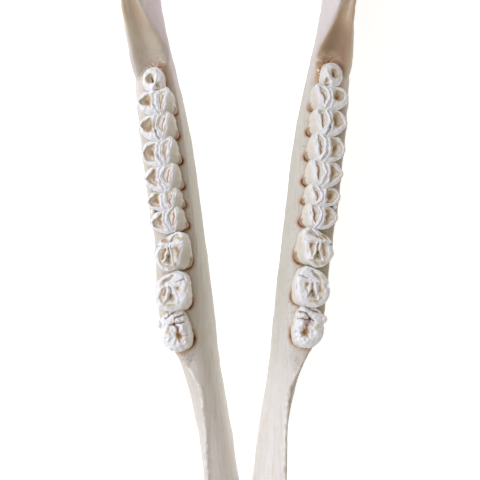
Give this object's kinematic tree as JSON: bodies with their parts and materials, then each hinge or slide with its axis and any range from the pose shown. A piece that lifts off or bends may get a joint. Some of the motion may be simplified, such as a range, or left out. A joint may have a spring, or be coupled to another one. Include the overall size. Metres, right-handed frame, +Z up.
{
  "type": "giraffe lower jaw",
  "caption": "Life-size giraffe lower jaw, both halves with their cheek teeth and a fan of incisors, lying on its lower border with the teeth up.",
  "frame": {"origin": "on the floor, in the middle of the jaw's length and width", "axes": "+Z up out of the teeth, -Y to the incisors, +X to the animal's left"},
  "size_m": [0.156, 0.4788, 0.2154],
  "materials": {
    "bone": "dry, matte, finely striated bone",
    "enamel": "white enamel, satin, with cream and orange-brown dentine"
  },
  "bodies": {
    "root": {"mandible_left": "bone", "mandible_right": "bone"}
  },
  "joints": []
}
